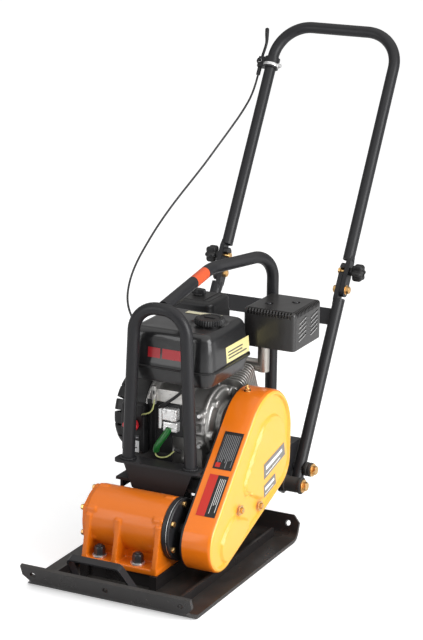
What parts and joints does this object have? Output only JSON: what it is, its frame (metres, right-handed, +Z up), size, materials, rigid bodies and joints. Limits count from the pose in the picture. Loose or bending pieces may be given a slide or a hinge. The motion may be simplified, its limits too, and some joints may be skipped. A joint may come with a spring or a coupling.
{
  "type": "plate compactor",
  "caption": "Forward vibratory plate compactor: lipped base plate, belt-driven exciter, petrol engine on a rubber-mounted bed, roll frame and a two-part folding handle.",
  "frame": {"origin": "centre of the sole of the base plate", "axes": "+Z up; -Y to the exciter at the front, +Y to the handle at the rear; +X to the belt guard side"},
  "size_m": [0.5035, 1.167, 1.0586],
  "materials": {
    "plate_paint": "satin dark grey powder coat",
    "black_paint": "satin black powder coat",
    "tank_paint": "semi-gloss black enamel",
    "orange_paint": "gloss enamel over a casting",
    "yellow_paint": "gloss enamel on pressed steel",
    "rubber": "matte",
    "yellow_zinc": "yellow zinc plate",
    "dark_steel": "phosphated",
    "cast_aluminium": "die cast",
    "bright_steel": "bright zinc",
    "black_plastic": "fine grain",
    "red_plastic": "gloss",
    "cable_sheath": "smooth sheath"
  },
  "bodies": {
    "frame": {"air_cleaner_base": "black_plastic", "air_cleaner_cover": "black_plastic", "base_plate": "plate_paint", "belt_guard": "yellow_paint", "bracket_bolts": "yellow_zinc", "carburettor": "cast_aluminium", "control_panel": "black_plastic", "cover_bolts": "yellow_zinc", "crankcase": "cast_aluminium", "cylinder": "cast_aluminium", "cylinder_head": "cast_aluminium", "drive_belt": "rubber", "engine_bed": "black_paint", "engine_bolts": "bright_steel", "exciter_bearings": "dark_steel", "exciter_end_cover": "orange_paint", "exciter_flange": "black_paint", "exciter_housing": "orange_paint", "exciter_mount_bolts": "dark_steel", "fan_housing": "black_paint", "front_hoop": "black_paint", "front_loop": "plate_paint", "guard_back_plate": "black_paint", "handle_brackets": "black_paint", "lifting_arch": "black_paint", "mount_towers": "plate_paint", "muffler": "bright_steel", "muffler_guard": "black_plastic", "plate_ribs": "plate_paint", "recoil_cover": "black_plastic", "rocker_cover": "black_plastic", "rubber_bushings": "rubber", "shock_mounts": "rubber", "side_cover": "cast_aluminium", "spark_plug": "black_plastic", "tank_lower": "tank_paint", "tank_upper": "tank_paint", "throttle_cable_lower": "cable_sheath"},
    "lower_handle": {"lower_handle": "black_paint", "fold_bolts": "yellow_zinc", "throttle_cable_upper": "cable_sheath"},
    "upper_handle": {"upper_handle": "black_paint", "throttle_clamp": "black_paint", "knob_bolts": "yellow_zinc"},
    "knob_left": {"clamp_knob_left": "black_plastic"},
    "knob_right": {"clamp_knob_right": "black_plastic"},
    "throttle_lever": {"throttle_lever": "black_paint"},
    "throttle_arm": {"throttle_arm": "dark_steel"},
    "crank": {"crankshaft": "dark_steel", "flywheel": "dark_steel", "clutch": "dark_steel"},
    "exciter_rotor": {"eccentric_shaft": "dark_steel", "exciter_pulley": "dark_steel"},
    "fuel_cap": {"fuel_cap": "black_plastic"},
    "cleaner_knob": {"air_cleaner_knob": "black_plastic"},
    "dipstick": {"dipstick": "black_plastic"},
    "engine_switch": {"engine_switch": "red_plastic"},
    "choke_lever": {"choke_lever": "dark_steel"},
    "fuel_valve": {"fuel_valve_lever": "dark_steel"},
    "starter_grip": {"starter_grip": "black_plastic"}
  },
  "joints": [
    {"name": "handle_tilt", "type": "hinge", "parent": "frame", "child": "lower_handle", "pos_m": [0, 0.3546, 0.132], "axis": [1, 0, 0], "range_deg": [0, 12], "deforming": ["throttle_cable_lower"]},
    {"name": "handle_fold", "type": "hinge", "parent": "lower_handle", "child": "upper_handle", "pos_m": [0, 0.56675, 0.49945], "axis": [1, 0, 0], "range_deg": [0, 100], "deforming": ["throttle_cable_upper"]},
    {"name": "knob_left_turn", "type": "hinge", "parent": "upper_handle", "child": "knob_left", "pos_m": [-0.18, 0.5886, 0.5373], "axis": [-1, 0, 0], "continuous": true},
    {"name": "knob_right_turn", "type": "hinge", "parent": "upper_handle", "child": "knob_right", "pos_m": [0.18, 0.5886, 0.5373], "axis": [1, 0, 0], "continuous": true},
    {"name": "throttle_lever_turn", "type": "hinge", "parent": "upper_handle", "child": "throttle_lever", "pos_m": [-0.184, 0.8331, 0.96079], "axis": [0, -0.866, 0.5], "range_deg": [0, 60]},
    {"name": "throttle_arm_turn", "type": "hinge", "parent": "frame", "child": "throttle_arm", "pos_m": [-0.096, 0.281, 0.406], "axis": [0, 0, -1], "range_deg": [0, 30]},
    {"name": "crank_spin", "type": "hinge", "parent": "frame", "child": "crank", "pos_m": [0, 0.128, 0.296], "axis": [1, 0, 0], "continuous": true},
    {"name": "exciter_spin", "type": "hinge", "parent": "frame", "child": "exciter_rotor", "pos_m": [0, -0.08, 0.12], "axis": [1, 0, 0], "continuous": true},
    {"name": "fuel_cap_turn", "type": "hinge", "parent": "frame", "child": "fuel_cap", "pos_m": [0.052, 0.1, 0.521], "axis": [0, 0, 1], "continuous": true},
    {"name": "cleaner_knob_turn", "type": "hinge", "parent": "frame", "child": "cleaner_knob", "pos_m": [-0.071, 0.29, 0.523], "axis": [0, 0, 1], "continuous": true},
    {"name": "dipstick_turn", "type": "hinge", "parent": "frame", "child": "dipstick", "pos_m": [0.036, 0.03, 0.216], "axis": [0, -1, 0], "continuous": true},
    {"name": "switch_turn", "type": "hinge", "parent": "frame", "child": "engine_switch", "pos_m": [-0.084, 0.008, 0.3], "axis": [0, -1, 0], "range_deg": [0, 60]},
    {"name": "choke_turn", "type": "hinge", "parent": "frame", "child": "choke_lever", "pos_m": [-0.087, 0.298, 0.388], "axis": [-1, 0, 0], "range_deg": [0, 60]},
    {"name": "fuel_valve_turn", "type": "hinge", "parent": "frame", "child": "fuel_valve", "pos_m": [-0.087, 0.28, 0.364], "axis": [-1, 0, 0], "range_deg": [0, 60]},
    {"name": "starter_pull", "type": "slide", "parent": "frame", "child": "starter_grip", "axis": [-0.8008, 0.1001, 0.5906], "range_m": [0, 0.3], "stiffness_N_per_m": 30, "springref_m": -0.05}
  ],
  "couplings": [
    {"joint": "exciter_spin", "follows": "crank_spin", "ratio": 1.4},
    {"joint": "throttle_arm_turn", "follows": "throttle_lever_turn", "ratio": 0.5}
  ]
}
